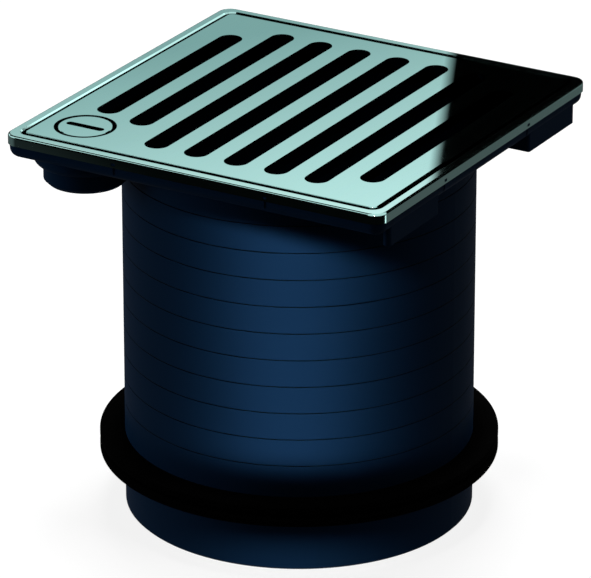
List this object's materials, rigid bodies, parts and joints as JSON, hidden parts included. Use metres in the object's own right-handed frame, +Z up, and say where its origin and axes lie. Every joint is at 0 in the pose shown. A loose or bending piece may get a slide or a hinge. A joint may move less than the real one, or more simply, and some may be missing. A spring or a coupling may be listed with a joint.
{
  "type": "floor drain grate and frame",
  "caption": "Square floor drain top: slotted steel plate held by a quarter-turn lock in a steel-trimmed plastic frame, with a marked tube below and a rubber lip seal.",
  "frame": {"origin": "centre of the tube's lower end, which is the middle of the bottom of the part's box", "axes": "+Z up along the tube to the plate, +X to the right along the front edge, +Y to the back along the slots"},
  "size_m": [0.15, 0.15, 0.15],
  "materials": {
    "moulding": "moulded satin",
    "trim": "pressed stainless sheet",
    "plate": "fine brushed stainless",
    "hook": "mill finish",
    "seal": "moulded matt",
    "bolt": "turned",
    "lock_hardware": "mill finish",
    "sleeve": "moulded"
  },
  "bodies": {
    "drain_top": {"top_section": "moulding", "trim_frame": "trim", "grate_plate": "plate", "catch_hook": "hook", "lip_seal": "seal"},
    "lock": {"lock_bolt": "bolt", "lock_disc_spring": "lock_hardware", "lock_sleeve": "sleeve", "lock_bar": "lock_hardware", "lock_retaining_ring": "lock_hardware"}
  },
  "joints": [
    {"name": "lock_turn", "type": "hinge", "parent": "drain_top", "child": "lock", "pos_m": [-0.0542, -0.0542, 0.15], "axis": [0, 0, 1], "range_deg": [0, 90]}
  ]
}
